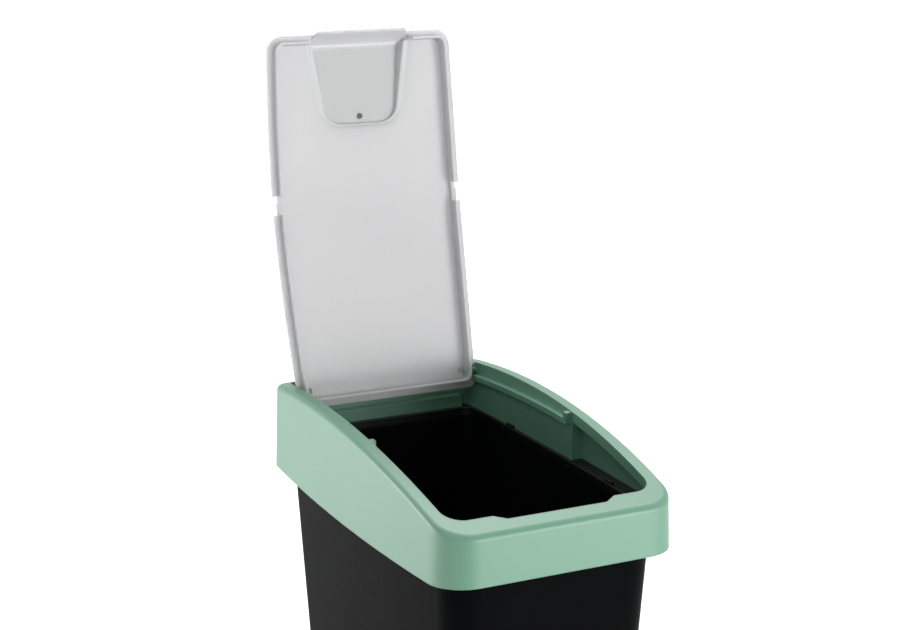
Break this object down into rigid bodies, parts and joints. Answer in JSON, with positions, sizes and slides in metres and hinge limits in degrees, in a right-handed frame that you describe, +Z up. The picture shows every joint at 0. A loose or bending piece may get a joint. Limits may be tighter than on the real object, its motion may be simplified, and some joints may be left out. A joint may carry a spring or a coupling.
{
  "type": "kitchen bin with flip lid",
  "caption": "Tall tapered kitchen bin: dark bucket, lift-off green collar with an arched top, and a pale flip lid hinged at the rear, shown open.",
  "frame": {"origin": "on the floor under the middle of the bucket's base", "axes": "+Z up, front of the bin towards -Y, hinge line along X at the rear"},
  "size_m": [0.2303, 0.4313, 0.8126],
  "materials": {
    "charcoal_plastic": "fine satin",
    "sage_plastic": "satin",
    "pale_plastic": "satin, slightly translucent"
  },
  "bodies": {
    "bucket": {"bucket": "charcoal_plastic"},
    "collar": {"collar": "sage_plastic"},
    "lid": {"lid": "pale_plastic", "lid_grip": "sage_plastic"}
  },
  "joints": [
    {"name": "collar_lift", "type": "slide", "parent": "bucket", "child": "collar", "axis": [0, 0, 1], "range_m": [0, 0.08]},
    {"name": "lid_flip", "type": "hinge", "parent": "collar", "child": "lid", "pos_m": [0, 0.166, 0.479], "axis": [1, 0, 0], "range_deg": [0, 102.8]}
  ]
}
